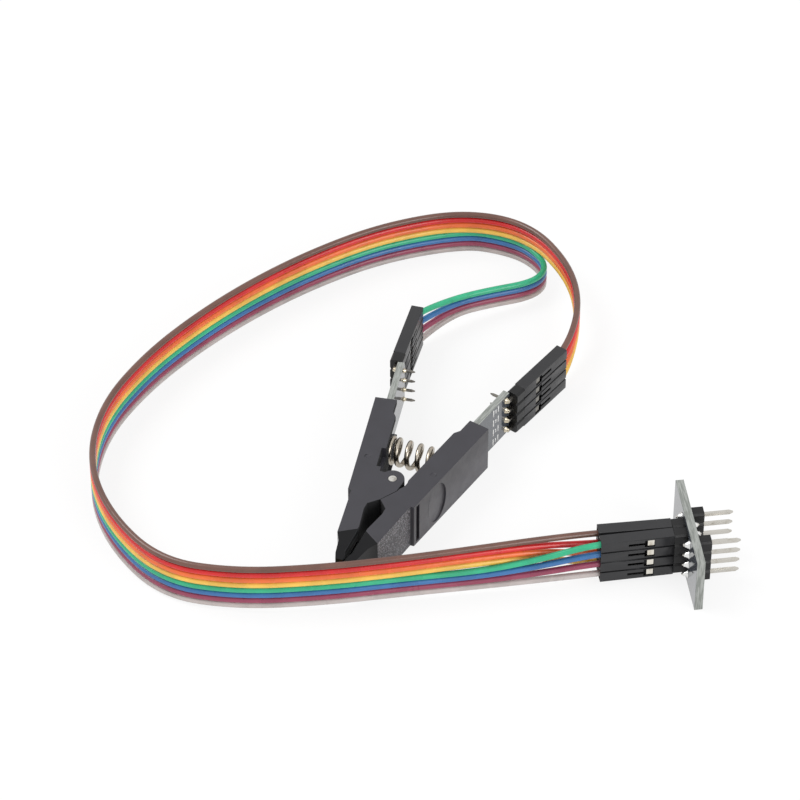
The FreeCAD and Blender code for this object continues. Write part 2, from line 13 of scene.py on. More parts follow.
import bmesh
import bpy
from mathutils import Matrix, Vector
from mathutils.kdtree import KDTree
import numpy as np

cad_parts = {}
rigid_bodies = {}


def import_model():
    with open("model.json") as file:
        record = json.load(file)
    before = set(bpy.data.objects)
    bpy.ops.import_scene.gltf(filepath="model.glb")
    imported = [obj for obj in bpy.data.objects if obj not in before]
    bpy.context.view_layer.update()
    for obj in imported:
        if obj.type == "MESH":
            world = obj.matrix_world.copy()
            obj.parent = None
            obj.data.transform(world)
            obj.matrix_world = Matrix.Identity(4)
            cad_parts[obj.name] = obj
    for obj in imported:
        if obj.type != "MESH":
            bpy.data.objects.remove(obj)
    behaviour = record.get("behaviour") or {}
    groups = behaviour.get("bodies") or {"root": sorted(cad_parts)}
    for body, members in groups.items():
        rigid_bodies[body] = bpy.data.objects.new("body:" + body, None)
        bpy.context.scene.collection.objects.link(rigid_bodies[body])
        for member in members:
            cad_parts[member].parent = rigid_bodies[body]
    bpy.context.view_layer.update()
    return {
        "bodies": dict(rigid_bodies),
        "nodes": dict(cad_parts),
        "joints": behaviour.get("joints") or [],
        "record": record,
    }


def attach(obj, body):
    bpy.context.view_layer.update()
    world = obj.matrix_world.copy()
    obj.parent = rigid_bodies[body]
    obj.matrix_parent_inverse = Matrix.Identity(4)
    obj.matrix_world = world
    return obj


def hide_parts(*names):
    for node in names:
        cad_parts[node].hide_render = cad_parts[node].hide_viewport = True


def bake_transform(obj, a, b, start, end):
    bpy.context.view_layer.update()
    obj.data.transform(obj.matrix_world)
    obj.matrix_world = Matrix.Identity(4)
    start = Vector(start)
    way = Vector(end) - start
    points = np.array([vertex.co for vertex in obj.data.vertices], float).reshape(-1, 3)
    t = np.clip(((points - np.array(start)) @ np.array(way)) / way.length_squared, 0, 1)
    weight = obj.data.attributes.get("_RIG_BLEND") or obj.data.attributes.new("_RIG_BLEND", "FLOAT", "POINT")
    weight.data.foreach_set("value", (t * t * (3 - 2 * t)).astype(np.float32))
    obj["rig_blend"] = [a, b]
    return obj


log = logging.getLogger("clip")

MM = 0.001
ROOT = "right_half"
MOVING = "left_half"
WAYS = 4
PIN_PITCH = 2.54 * MM
MERGE = 0.001 * MM

Rgb = tuple[float, float, float]
Socket = bpy.types.NodeSocket
Material = bpy.types.Material
Piece = bpy.types.Object
Form = bmesh.types.BMesh


class Side(Enum):
    """The two halves of the clip, with the sign of their x."""

    RIGHT = 1
    LEFT = -1

    @property
    def label(self) -> str:
        """The side's word in node names."""
        return self.name.lower()

    @property
    def body(self) -> str:
        """The body that the side's pieces move with."""
        return ROOT if self is Side.RIGHT else MOVING


class Wire(Enum):
    """The ribbon's wires from the top down."""

    BROWN, RED, ORANGE, YELLOW, GREEN, BLUE, PURPLE, GREY = range(8)

    @property
    def node(self) -> str:
        """The wire's node in the frame."""
        return "wire_" + self.name.lower()

    @property
    def upper(self) -> bool:
        """Whether the wire is one of the four that go to the right half."""
        return self.value < WAYS


def linear(red: int, green: int, blue: int) -> Rgb:
    """A screen colour as the linear values that shaders take.

    Args:
        red: Red from 0 to 255.
        green: Green from 0 to 255.
        blue: Blue from 0 to 255.

    Returns:
        The three linear values from 0 to 1.
    """
    values = [channel / 255 for channel in (red, green, blue)]
    return tuple(v / 12.92 if v <= 0.04045 else ((v + 0.055) / 1.055) ** 2.4 for v in values)


class Shader:
    """A material's node tree, with short ways to add and link nodes."""

    def __init__(self, name: str) -> None:
        """Starts a material that holds one Principled shader.

        Args:
            name: The material's name.
        """
        self.material = bpy.data.materials.new(name)
        self.material.use_nodes = True
        self.tree = self.material.node_tree
        self.principled = self.tree.nodes["Principled BSDF"]
        self.place = self.add("ShaderNodeTexCoord").outputs["Object"]

    def add(self, kind: str, settings: dict | None = None, **inputs: object) -> bpy.types.Node:
        """Adds a node.

        Args:
            kind: Blender's name of the node type.
            settings: Properties of the node, set before its inputs.
            inputs: Input names with spaces as underscores, each with a value or a socket to link.

        Returns:
            The new node.
        """
        node = self.tree.nodes.new(kind)
        for key, value in (settings or {}).items():
            setattr(node, key, value)
        for key, value in inputs.items():
            self.feed(node.inputs[key.replace("_", " ")], value)
        return node

    def feed(self, socket: Socket, value: object) -> None:
        """Links or sets an input.

        Args:
            socket: The input.
            value: A socket to link, or a value; a colour may come without its alpha.
        """
        if isinstance(value, Socket):
            self.tree.links.new(value, socket)
        elif socket.type == "RGBA":
            socket.default_value = (*value, 1)
        else:
            socket.default_value = value

    def math(
        self, operation: str, first: Socket | float, second: Socket | float = 0.0, clamp: bool = False
    ) -> Socket:
        """Adds a Math node.

        Args:
            operation: Blender's name of the operation.
            first: First operand.
            second: Second operand.
            clamp: Whether the result is kept between 0 and 1.

        Returns:
            The result socket.
        """
        node = self.add("ShaderNodeMath", {"operation": operation, "use_clamp": clamp})
        for socket, value in zip(node.inputs, (first, second)):
            self.feed(socket, value)
        return node.outputs[0]

    def noise(self, size: float, detail: float) -> Socket:
        """Noise over the piece.

        Args:
            size: Size of its largest specks.
            detail: Octaves.

        Returns:
            The noise's factor socket.
        """
        inputs = {"Vector": self.place, "Scale": 1 / size, "Detail": detail, "Roughness": 0.55}
        return self.add("ShaderNodeTexNoise", **inputs).outputs[0]

    def blend(self, factor: Socket, low: Rgb | Socket, high: Rgb | Socket) -> Socket:
        """Mixes two colours.

        Args:
            factor: 0 gives low and 1 gives high.
            low: A colour or colour socket.
            high: A colour or colour socket.

        Returns:
            The mixed colour.
        """
        node = self.add("ShaderNodeMix", {"data_type": "RGBA"})
        factor_input, low_input, high_input = (node.inputs[index] for index in (0, 6, 7))
        self.feed(factor_input, factor)
        self.feed(low_input, low)
        self.feed(high_input, high)
        return node.outputs[2]

    def spread(
        self, value: Socket, low: float, high: float, to_low: float = 0.0, to_high: float = 1.0
    ) -> Socket:
        """Maps a range of a value onto another range, smoothly and clamped.

        Args:
            value: The value.
            low: Where the range starts.
            high: Where the range ends.
            to_low: Result at the start.
            to_high: Result at the end.

        Returns:
            The mapped value.
        """
        ends = {"From_Min": low, "From_Max": high, "To_Min": to_low, "To_Max": to_high}
        kind = {"interpolation_type": "SMOOTHSTEP"}
        return self.add("ShaderNodeMapRange", kind, Value=value, **ends).outputs[0]

    def dot(self, vector: Socket, direction: Vector) -> Socket:
        """The part of a vector that lies along a direction.

        Args:
            vector: The vector.
            direction: The direction, of length 1.

        Returns:
            Its length.
        """
        node = self.add("ShaderNodeVectorMath", {"operation": "DOT_PRODUCT"})
        self.feed(node.inputs[0], vector)
        self.feed(node.inputs[1], direction)
        return node.outputs["Value"]

    def toward(self, direction: Vector) -> Socket:
        """How squarely the surface faces a direction, from -1 to 1."""
        return self.dot(self.add("ShaderNodeNewGeometry").outputs["Normal"], direction)

    def facing(self, direction: Vector) -> Socket:
        """How squarely the surface faces a direction or its opposite, from 0 to 1."""
        return self.math("ABSOLUTE", self.toward(direction))

    def bump(self, height: Socket, depth: float, strength: Socket | float = 1.0) -> None:
        """Roughens the surface.

        Args:
            height: Height from 0 to 1.
            depth: Real depth of a height of 1.
            strength: Share of the effect.
        """
        node = self.add("ShaderNodeBump", Height=height, Distance=depth, Strength=strength)
        self.set(Normal=node.outputs[0])

    def set(self, **inputs: object) -> None:
        """Sets inputs of the Principled shader, each with a value or a socket to link."""
        for key, value in inputs.items():
            self.feed(self.principled.inputs[key.replace("_", " ")], value)


@dataclass(frozen=True)
class Moulding:
    """Moulded plastic: a fine cloudy colour, a satin skin and a fine grain."""

    name: str
    colour: Rgb
    light: Rgb
    roughness: float = 0.42
    grain: float = 0.12 * MM
    depth: float = 0.006 * MM
    gloss: float = 0.5

    def material(self) -> Material:
        """Builds the material."""
        shader = Shader(self.name)
        cloud = shader.noise(2.5 * MM, 4)
        shader.set(Base_Color=shader.blend(cloud, self.colour, self.light))
        smooth, rough = self.roughness - 0.05, self.roughness + 0.06
        shader.set(Roughness=shader.spread(cloud, 0.3, 0.7, smooth, rough))
        shader.set(Specular_IOR_Level=self.gloss)
        shader.bump(shader.noise(self.grain, 2), self.depth)
        return shader.material


@dataclass(frozen=True)
class CombMoulding(Moulding):
    """A comb's plastic, with painted shade in the channels between the ribs of its inner face and painted
    highlights on the ribs.

    Attributes:
        outward: 1 for the right comb and -1 for the left one.
        pitch: Distance between two channels.
        middle: Height of the middle one of the ribs.
        channel: Painted shade in the channels.
        rib_highlight: Painted highlight on the ribs.
    """

    outward: int = 1
    pitch: float = 1.27 * MM
    middle: float = 5.2 * MM
    # Painted shade in the channels and painted highlight on the ribs.
    channel: Rgb = linear(3, 3, 4)
    rib_highlight: Rgb = linear(44, 46, 48)

    def material(self) -> Material:
        """Builds the material."""
        shader = Shader(self.name)
        cloud = shader.noise(3.0 * MM, 4)
        inner = shader.math("LESS_THAN", shader.toward(Vector((self.outward, 0, 0))), -0.4)
        height = shader.add("ShaderNodeSeparateXYZ", Vector=shader.place).outputs["Z"]
        turns = shader.math("DIVIDE", shader.math("SUBTRACT", height, self.middle), self.pitch)
        wave = shader.math("COSINE", shader.math("MULTIPLY", turns, math.tau))
        ribbed = shader.spread(wave, -0.2, 0.2)
        skin = shader.blend(cloud, self.colour, self.light)
        # Painted shade in the channels and painted highlights on the ribs of the inner face.
        painted_bands = shader.blend(ribbed, self.channel, self.rib_highlight)
        shader.set(Base_Color=shader.blend(inner, skin, painted_bands), Specular_IOR_Level=self.gloss)
        dull = shader.math("MULTIPLY", inner, 0.4)
        shader.set(Roughness=shader.math("ADD", dull, self.roughness))
        shader.bump(shader.math("MULTIPLY", inner, ribbed), 0.3 * MM)
        return shader.material


@dataclass(frozen=True)
class JawMoulding(Moulding):
    """A jaw's plastic: satin, with painted light on the outer face, painted shade on the dull faces between
    the jaws, and a coarse grain with painted highlights on the nose.

    Attributes:
        outward: 1 for the right jaw and -1 for the left one.
        outer_light_top: Painted light on the outer face at its upper edge.
        outer_light_low: Stronger painted light at its lower edge, where light reflects from the table.
        gap_shade: Painted shade on the faces between the jaws.
        pebble_glint: Painted highlight on the tops of the nose's grain.
        step_y: Where the nose begins.
        cell: Size of one bump of the grain.
        cell_depth: Its height.
    """

    outward: int = 1
    # Painted light on the outer face, stronger towards the table.
    outer_light_top: Rgb = linear(62, 61, 64)
    outer_light_low: Rgb = linear(84, 83, 87)
    # Painted shade on the faces between the jaws.
    gap_shade: Rgb = linear(16, 16, 18)
    # Painted highlight on the tops of the grain.
    pebble_glint: Rgb = linear(138, 137, 142)
    step_y: float = -5.75 * MM
    cell: float = 0.36 * MM
    cell_depth: float = 0.07 * MM

    def material(self) -> Material:
        """Builds the material."""
        shader = Shader(self.name)
        cloud = shader.noise(3.0 * MM, 4)
        place = shader.add("ShaderNodeSeparateXYZ", Vector=shader.place)
        y = place.outputs["Y"]
        # Nearness to the table, for the painted light on the outer face.
        low = shader.spread(place.outputs["Z"], 9.0 * MM, 1.0 * MM)
        sideways = shader.toward(Vector((self.outward, 0, 0)))
        outer = shader.math("GREATER_THAN", sideways, 0.8)
        inner = shader.math("LESS_THAN", sideways, -0.4)
        ahead = shader.math("LESS_THAN", y, self.step_y - 0.1 * MM)
        nose = shader.math("MULTIPLY", outer, ahead)
        voronoi = shader.add("ShaderNodeTexVoronoi", Vector=shader.place, Scale=1 / self.cell)
        cells = voronoi.outputs["Distance"]
        fine = shader.noise(self.grain, 2)
        relief = shader.math("MULTIPLY", nose, shader.spread(cells, 0.6, 0.1))
        skin = shader.blend(cloud, self.colour, self.light)
        # Painted light on the outer face, stronger towards the table.
        skin = shader.blend(outer, skin, shader.blend(low, self.outer_light_top, self.outer_light_low))
        # Painted shade on the faces between the jaws.
        skin = shader.blend(inner, skin, self.gap_shade)
        # Painted highlights on the tops of the nose's grain.
        glint_mask = shader.math("MULTIPLY", nose, shader.spread(cells, 0.5, 0.28))
        shader.set(Base_Color=shader.blend(glint_mask, skin, self.pebble_glint), Specular_IOR_Level=self.gloss)
        satin = shader.spread(cloud, 0.3, 0.7, self.roughness - 0.05, self.roughness + 0.07)
        dull = shader.math("MULTIPLY", inner, 0.4)
        shader.set(Roughness=shader.math("ADD", satin, dull, clamp=True))
        faint = shader.math("MULTIPLY", fine, 0.08)
        shader.bump(shader.math("ADD", relief, faint), self.cell_depth)
        return shader.material


@dataclass(frozen=True)
class Metal:
    """Bare or plated metal with a little tarnish."""

    name: str
    colour: Rgb
    tarnish: Rgb
    roughness: float = 0.25
    patch: float = 1.2 * MM
    marks: float = 0.15 * MM
    depth: float = 0.003 * MM

    def material(self) -> Material:
        """Builds the material."""
        shader = Shader(self.name)
        shader.set(Metallic=1.0, Base_Color=self.skin(shader))
        return shader.material

    def skin(self, shader: Shader) -> Socket:
        """Sets the roughness and the marks.

        Args:
            shader: The material's nodes.

        Returns:
            The metal's colour.
        """
        patches = shader.noise(self.patch, 4)
        smooth, rough = self.roughness - 0.06, self.roughness + 0.1
        shader.set(Roughness=shader.spread(patches, 0.3, 0.8, smooth, rough))
        shader.bump(shader.noise(self.marks, 2), self.depth)
        return shader.blend(shader.spread(patches, 0.45, 0.8), self.colour, self.tarnish)


@dataclass(frozen=True)
class CrimpMetal(Metal):
    """A plug's crimps: bright tin on the latch that fills the window, and painted shade where they lie in
    the slots.

    Attributes:
        mouth: A point on the plug's middle line.
        turn: Turn of that line about Z, in degrees.
        window: Distance of the latch's face from the line.
        slot_shade: Painted shade on the crimps below the latch.
    """

    mouth: Vector = field(default_factory=Vector)
    turn: float = 0.0
    window: float = 0.96 * MM
    # Painted shade on the crimps in the slots.
    slot_shade: Rgb = linear(30, 30, 31)

    def material(self) -> Material:
        """Builds the material."""
        shader = Shader(self.name)
        angle = math.radians(self.turn)
        across = Vector((math.cos(angle), math.sin(angle), 0))
        offset = shader.math("SUBTRACT", shader.dot(shader.place, across), across.dot(self.mouth))
        latch = shader.math("GREATER_THAN", shader.math("ABSOLUTE", offset), self.window)
        # Painted shade below the latch, tin on the latch.
        colour = shader.blend(latch, self.slot_shade, self.skin(shader))
        shader.set(Metallic=1.0, Base_Color=colour)
        return shader.material


@dataclass(frozen=True)
class BoardFinish:
    """Circuit board: glossy dark mask on both faces and bare glass fibre on the edges.

    Attributes:
        name: The material's name.
        turn: Angle of the faces' normal about Z, in degrees.
        mask: Colour of the faces.
        mask_light: Lighter colour of the faces.
        edge: Colour of the edges.
        edge_light: Lighter colour of the edges.
        smooth: Roughness of the faces.
        rough: Roughness of the edges.
        shine: Level of the reflections.
        layer: Thickness of one layer of fibre.
    """

    name: str
    turn: float
    mask: Rgb = linear(62, 66, 72)
    mask_light: Rgb = linear(72, 76, 82)
    edge: Rgb = linear(108, 112, 107)
    edge_light: Rgb = linear(142, 145, 141)
    smooth: float = 0.08
    rough: float = 0.6
    shine: float = 1.0
    layer: float = 0.22 * MM

    def material(self) -> Material:
        """Builds the material."""
        shader = Shader(self.name)
        angle = math.radians(self.turn)
        normal = Vector((math.cos(angle), math.sin(angle), 0))
        face = shader.math("GREATER_THAN", shader.facing(normal), 0.7)
        turned = shader.add("ShaderNodeMapping", Vector=shader.place, Rotation=(0, 0, -angle))
        flat = shader.add("ShaderNodeMapping", Vector=turned.outputs[0], Scale=(1, 0.08, 0.08))
        streaks = {"Vector": flat.outputs[0], "Scale": 1 / self.layer, "Detail": 2.0}
        layers = shader.add("ShaderNodeTexNoise", **streaks).outputs[0]
        cloth = shader.noise(2.0 * MM, 3)
        mask = shader.blend(cloth, self.mask, self.mask_light)
        bare = shader.blend(shader.spread(layers, 0.38, 0.62), self.edge, self.edge_light)
        shader.set(Base_Color=shader.blend(face, bare, mask))
        polish = shader.math("MULTIPLY", face, self.rough - self.smooth)
        shader.set(Roughness=shader.math("SUBTRACT", self.rough, polish))
        shader.set(Specular_IOR_Level=self.shine)
        shader.bump(layers, 0.01 * MM, shader.math("SUBTRACT", 1.0, face))
        return shader.material


@dataclass(frozen=True)
class Insulation:
    """Soft glossy wire insulation, slightly uneven in colour along its length."""

    name: str
    colour: Rgb
    deepen: float = 0.8
    roughness: float = 0.27

    def material(self) -> Material:
        """Builds the material."""
        shader = Shader(self.name)
        drift = shader.noise(6 * MM, 3)
        deep = tuple(channel * self.deepen for channel in self.colour)
        shader.set(Base_Color=shader.blend(shader.spread(drift, 0.3, 0.7), deep, self.colour))
        smooth, rough = self.roughness - 0.04, self.roughness + 0.06
        shader.set(Roughness=shader.spread(drift, 0.3, 0.7, smooth, rough))
        shader.bump(shader.noise(0.5 * MM, 2), 0.008 * MM)
        return shader.material


@dataclass(frozen=True)
class RoutePoint:
    """One given point of the ribbon's route.

    Attributes:
        x: Place across.
        y: Place along.
        lift: Height of the bottom wire above the table.
        spread: 0 where the wires lie in the ribbon, 1 where they are as far apart as in their plug.
    """

    x: float
    y: float
    lift: float = 0.0
    spread: float = 0.0


def route(*points: tuple[float, ...]) -> tuple[RoutePoint, ...]:
    """Route points from places in millimetres.

    Args:
        points: x and y of each, then its lift and its spread where they aren't 0.

    Returns:
        The points in metres.
    """
    places = [(*point, 0.0, 0.0)[:4] for point in points]
    return tuple(RoutePoint(x * MM, y * MM, lift * MM, spread) for x, y, lift, spread in places)


@dataclass(frozen=True)
class PlugEnd:
    """Where a plug is and which way its wires leave.

    Attributes:
        mouth: The middle of its mouth, on the table.
        turn: Turn of its middle line about Z, in degrees.
        mid_z: Height of its middle.
        wire_start: Distance from the mouth to where the wires start.
        exit_run: How far the wires run straight on.
    """

    mouth: Vector
    turn: float
    mid_z: float
    wire_start: float = 11.6 * MM
    exit_run: float = 4.2 * MM

    def heights(self) -> list[float]:
        """The height of each way, from the top down."""
        return [self.mid_z + PIN_PITCH * ((WAYS - 1) / 2 - way) for way in range(WAYS)]

    def point(self, distance: float, way: int) -> Vector:
        """A point on a way's line.

        Args:
            distance: How far from the mouth.
            way: The way, counted from the top.

        Returns:
            The point.
        """
        angle = math.radians(self.turn)
        along = Vector((-math.sin(angle), math.cos(angle), 0)) * distance
        return Vector((self.mouth.x, self.mouth.y, self.heights()[way])) + along

    def exit(self, way: int) -> list[Vector]:
        """The two ends of a wire's straight run out of the plug."""
        return [self.point(self.wire_start + run, way) for run in (0.0, self.exit_run)]


@dataclass
class Grip:
    """The frame of a grip: its outer face leans and carries the board, the header and the plug."""

    lean: float = 11.2
    root_x: float = 7.93 * MM
    depth: float = 10.4 * MM
    board_floor: float = 2.25 * MM
    board_thickness: float = 1.4 * MM
    pin_row: float = 30.1 * MM
    header_offset: float = 1.8 * MM
    plug_tilt: float = 3.5
    mouth: float = 3.85 * MM
    long_exit: float = 4.2 * MM
    short_exit: float = 1.6 * MM

    def point(self, side: Side, inward: float, along: float, height: float = 0.0) -> Vector:
        """A point of the grip.

        Args:
            side: Which grip.
            inward: Depth behind the outer face.
            along: Distance along the outer face from the pivot's line.
            height: Height above the table.

        Returns:
            The point in the row frame.
        """
        angle = math.radians(self.lean)
        x = self.root_x - inward * math.cos(angle) + along * math.sin(angle)
        y = along * math.cos(angle) + inward * math.sin(angle)
        return Vector((side.value * x, y, height))

    def outward(self, side: Side) -> Vector:
        """The way that the outer face looks."""
        angle = math.radians(self.lean)
        return Vector((side.value * math.cos(angle), -math.sin(angle), 0))

    def plug(self, side: Side) -> PlugEnd:
        """The plug on this grip."""
        base = self.point(side, self.header_offset, self.pin_row)
        turn = -side.value * self.lean - self.plug_tilt
        angle = math.radians(turn)
        mouth = base + Vector((-math.sin(angle), math.cos(angle), 0)) * self.mouth
        exit_run = self.long_exit if side is Side.RIGHT else self.short_exit
        return PlugEnd(mouth, turn, self.depth / 2, exit_run=exit_run)


@dataclass
class AdapterFrame:
    """The frame of the adapter: x along its posts and y along its board, turned on the table."""

    x: float = 56.2 * MM
    y: float = 8.5 * MM
    turn: float = 30.2
    mid_z: float = 6.2 * MM
    header: float = 2.55 * MM
    thickness: float = 1.6 * MM
    row_spacing: float = 7.62 * MM
    splay: float = 1.0

    def point(self, along: float, across: float, height: float = 0.0) -> Vector:
        """A point of the adapter.

        Args:
            along: Distance along the posts from the board's face.
            across: Distance across them from the board's middle.
            height: Height above the table.

        Returns:
            The point in the row frame.
        """
        angle = math.radians(self.turn)
        x = self.x + along * math.cos(angle) - across * math.sin(angle)
        return Vector((x, self.y + along * math.sin(angle) + across * math.cos(angle), height))

    def outward(self) -> Vector:
        """The way that the posts point."""
        return Vector((math.cos(math.radians(self.turn)), math.sin(math.radians(self.turn)), 0))

    def plug(self, upper: bool) -> PlugEnd:
        """The plug that holds the upper or the lower four wires."""
        row = 1 if upper else -1
        mouth = self.point(-self.header, row * PIN_PITCH / 2)
        return PlugEnd(mouth, self.turn + 90 - row * self.splay, self.mid_z)


def merged(frame: dict, node: str) -> Form:
    """A copy of a node's mesh with its faces joined at their edges.

    Args:
        frame: The loaded frame.
        node: The node's name.

    Returns:
        The copy.
    """
    form = bmesh.new()
    form.from_mesh(frame["nodes"][node].data)
    bmesh.ops.remove_doubles(form, verts=form.verts, dist=MERGE)
    return form


def placed(mesh: bpy.types.Mesh, finish: Material) -> Piece:
    """Puts a mesh in the scene as a smooth piece of the same name.

    Args:
        mesh: The mesh.
        finish: Its material.

    Returns:
        The piece.
    """
    mesh.materials.append(finish)
    mesh.shade_smooth()
    piece = bpy.data.objects.new(mesh.name, mesh)
    bpy.context.collection.objects.link(piece)
    return piece


def finished(name: str, form: Form, finish: Material) -> Piece:
    """Turns a form into a piece.

    Args:
        name: The piece's name.
        form: The form, in place; it is freed.
        finish: Its material.

    Returns:
        The piece.
    """
    mesh = bpy.data.meshes.new(name)
    form.to_mesh(mesh)
    form.free()
    return placed(mesh, finish)


@dataclass
class Ribbon:
    """Eight wires, one above another: the top four go to the right half and the rest to the left."""

    grip: Grip
    adapter: AdapterFrame
    diameter: float = 1.25 * MM
    pitch: float = 1.33 * MM
    bottom: float = 0.02 * MM
    flex_length: float = 28 * MM
    far_start: tuple[RoutePoint, ...] = route((31.6, -5.4, 1.1, 0.15), (22.8, -11.6, 1.2))
    near_start: tuple[RoutePoint, ...] = route((32.9, -6.7, 1.2, 0.4), (23.3, -12.2, 1.2))
    shared: tuple[RoutePoint, ...] = route(
        (10.6, -19.7, 1.3),
        (-2.4, -27.5, 1.2),
        (-17.1, -34.4, 0.8),
        (-32.0, -36.8, 0.3),
        (-46.4, -28.5),
        (-56.1, -16.9),
        (-60.2, -2.0),
        (-58.5, 13.9),
        (-53.9, 28.9),
        (-47.6, 43.0),
        (-39.5, 56.5),
        (-29.8, 68.6),
        (-16.8, 78.4),
    )
    right_branch: tuple[RoutePoint, ...] = route(
        (-2.9, 79.9), (8.9, 71.4), (15.2, 61.0, 0.0, 0.18)
    )
    left_branch: tuple[RoutePoint, ...] = route(
        (-9.5, 79.8),
        (-2.8, 79.2),
        (3.0, 75.0),
        (2.8, 68.4, 0.9),
        (-4.8, 61.3, 1.8),
        (-9.9, 55.5, 2.5, 0.05),
    )
    colours: dict[Wire, Rgb] = field(
        default_factory=lambda: {
            Wire.BROWN: linear(102, 70, 60),
            Wire.RED: linear(202, 32, 34),
            Wire.ORANGE: linear(224, 106, 50),
            Wire.YELLOW: linear(228, 184, 80),
            Wire.GREEN: linear(44, 168, 124),
            Wire.BLUE: linear(52, 106, 162),
            Wire.PURPLE: linear(144, 60, 86),
            Wire.GREY: linear(182, 173, 170),
        }
    )

    def build(self) -> None:
        """Makes every wire in place of its plain solid."""
        for wire in Wire:
            finish = Insulation(wire.node + "_insulation", self.colours[wire]).material()
            points = self.control_points(wire)
            bare = self.swept("route", points, 0.0)
            line = [vertex.co.copy() for vertex in bare.vertices]
            bpy.data.meshes.remove(bare)
            mesh = self.swept("cord_" + wire.name.lower(), points, self.diameter / 2)
            piece = placed(mesh, finish)
            if wire.upper:
                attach(piece, ROOT)
            else:
                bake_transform(piece, MOVING, ROOT, start=tuple(line[0]), end=tuple(line[len(line) // 4]))
                self.weigh(piece, line)
            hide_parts(wire.node)
            log.info("wire %s with %d control points", wire.node, len(points))

    def height(self, place: RoutePoint, wire: Wire, plug_height: float) -> float:
        """Height of a wire at one route point.

        Args:
            place: The route point.
            wire: The wire.
            plug_height: The wire's height in the plug that the point leads to.

        Returns:
            The height of the wire's middle.
        """
        level = len(Wire) - 1 - wire.value
        flat = self.bottom + self.diameter / 2 + place.lift + level * self.pitch
        return (1 - place.spread) * flat + place.spread * plug_height

    def control_points(self, wire: Wire) -> list[Vector]:
        """The wire's route from the clip to the adapter.

        Args:
            wire: The wire.

        Returns:
            Its control points.
        """
        way = wire.value % WAYS
        near_end = self.grip.plug(Side.RIGHT if wire.upper else Side.LEFT)
        far_end = self.adapter.plug(wire.upper)
        branch = self.right_branch if wire.upper else self.left_branch
        start = self.far_start if wire.upper else self.near_start
        stretches = (
            (branch, near_end.heights()[way]),
            (self.shared, 0.0),
            (start, far_end.heights()[way]),
        )
        points = near_end.exit(way)
        for places, plug_height in stretches:
            points += [Vector((p.x, p.y, self.height(p, wire, plug_height))) for p in places[::-1]]
        return points + far_end.exit(way)[::-1]

    def swept(self, name: str, points: list[Vector], radius: float) -> bpy.types.Mesh:
        """The mesh of a smooth curve with the route's points as its control points.

        Args:
            name: The mesh's name.
            points: Control points.
            radius: Radius of the tube, or 0 for a bare line.

        Returns:
            The mesh.
        """
        curve = bpy.data.curves.new(name, "CURVE")
        curve.dimensions = "3D"
        curve.resolution_u = 10
        curve.bevel_depth = radius
        curve.bevel_resolution = 4
        curve.use_fill_caps = radius > 0
        line = curve.splines.new("NURBS")
        line.points.add(len(points) - 1)
        for target, point in zip(line.points, points):
            target.co = (*point, 1)
        line.order_u = 3
        line.use_endpoint_u = True
        path = bpy.data.objects.new(name + "_path", curve)
        bpy.context.collection.objects.link(path)
        bpy.context.view_layer.update()
        view = bpy.context.evaluated_depsgraph_get()
        mesh = bpy.data.meshes.new_from_object(path.evaluated_get(view))
        bpy.data.objects.remove(path)
        mesh.name = name
        return mesh

    def weigh(self, piece: Piece, line: list[Vector]) -> None:
        """Shares the wire between the halves by the length of wire from the moving plug.

        Args:
            piece: The wire's tube.
            line: Points along its middle, from the moving plug.
        """
        lengths = [0.0]
        for before, after in zip(line, line[1:]):
            lengths.append(lengths[-1] + (after - before).length)
        tree = KDTree(len(line))
        for index, point in enumerate(line):
            tree.insert(point, index)
        tree.balance()
        shares = piece.data.attributes["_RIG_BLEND"].data
        held = self.grip.plug(Side.LEFT).exit_run
        for vertex, share in zip(piece.data.vertices, shares):
            _, index, _ = tree.find(vertex.co)
            part = min(1.0, max(0.0, (lengths[index] - held) / (self.flex_length - held)))
            share.value = part * part * (3 - 2 * part)


@dataclass
class Clip:
    """The clip's own nodes: jaws, combs, contacts, pin and spring."""

    frame: dict
    grip: Grip
    gold: Metal = Metal("contact_gold", linear(226, 184, 104), linear(190, 140, 70), roughness=0.22)
    pin: Metal = Metal("pin_steel", linear(205, 203, 198), linear(150, 146, 140), roughness=0.34)
    wire: Metal = Metal("spring_nickel", linear(176, 168, 155), linear(122, 112, 98), roughness=0.26)

    def comb(self, side: Side) -> CombMoulding:
        """The finish of one comb, on its own side of the clip."""
        dark, light = linear(12, 12, 14), linear(20, 20, 22)
        name = "comb_plastic_" + side.label
        return CombMoulding(name, dark, light, roughness=0.2, gloss=0.15, outward=side.value)

    def jaw(self, side: Side) -> JawMoulding:
        """The finish of one jaw, on its own side of the clip."""
        name = "jaw_plastic_" + side.label
        dark, light = linear(42, 41, 46), linear(53, 52, 58)
        return JawMoulding(name, dark, light, roughness=0.46, gloss=0.42, outward=side.value)

    def build(self) -> None:
        """Dresses each node of the clip."""
        gold = self.gold.material()
        for side in Side:
            rounded(self.frame, "jaw_" + side.label, self.jaw(side).material(), side.body, 0.08 * MM)
            rounded(self.frame, "comb_" + side.label, self.comb(side).material(), side.body, 0.05 * MM)
            for number in range(WAYS):
                dress(self.frame, f"contact_{side.label}_{number + 1}", gold)
            board = BoardFinish("board_" + side.label, -self.grip.lean * side.value)
            rounded(self.frame, "board_" + side.label, board.material(), side.body, 0.06 * MM)
        dress(self.frame, "pivot_pin", self.pin.material())
        self.flexing_spring(self.wire.material())

    def flexing_spring(self, finish: Material) -> Piece:
        """The spring as a copy that shortens evenly between the halves as the clip opens.

        Args:
            finish: Its material.

        Returns:
            The copy.
        """
        piece = finished("flexing_spring", merged(self.frame, "spring"), finish)
        places = [vertex.co.x for vertex in piece.data.vertices]
        left, right = min(places), max(places)
        _, y, z = piece.data.vertices[0].co
        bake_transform(piece, MOVING, ROOT, start=(left, y, z), end=(right, y, z))
        for x, share in zip(places, piece.data.attributes["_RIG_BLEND"].data):
            share.value = (x - left) / (right - left)
        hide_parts("spring")
        log.info("the spring is blended over %.1f mm", (right - left) / MM)
        return piece


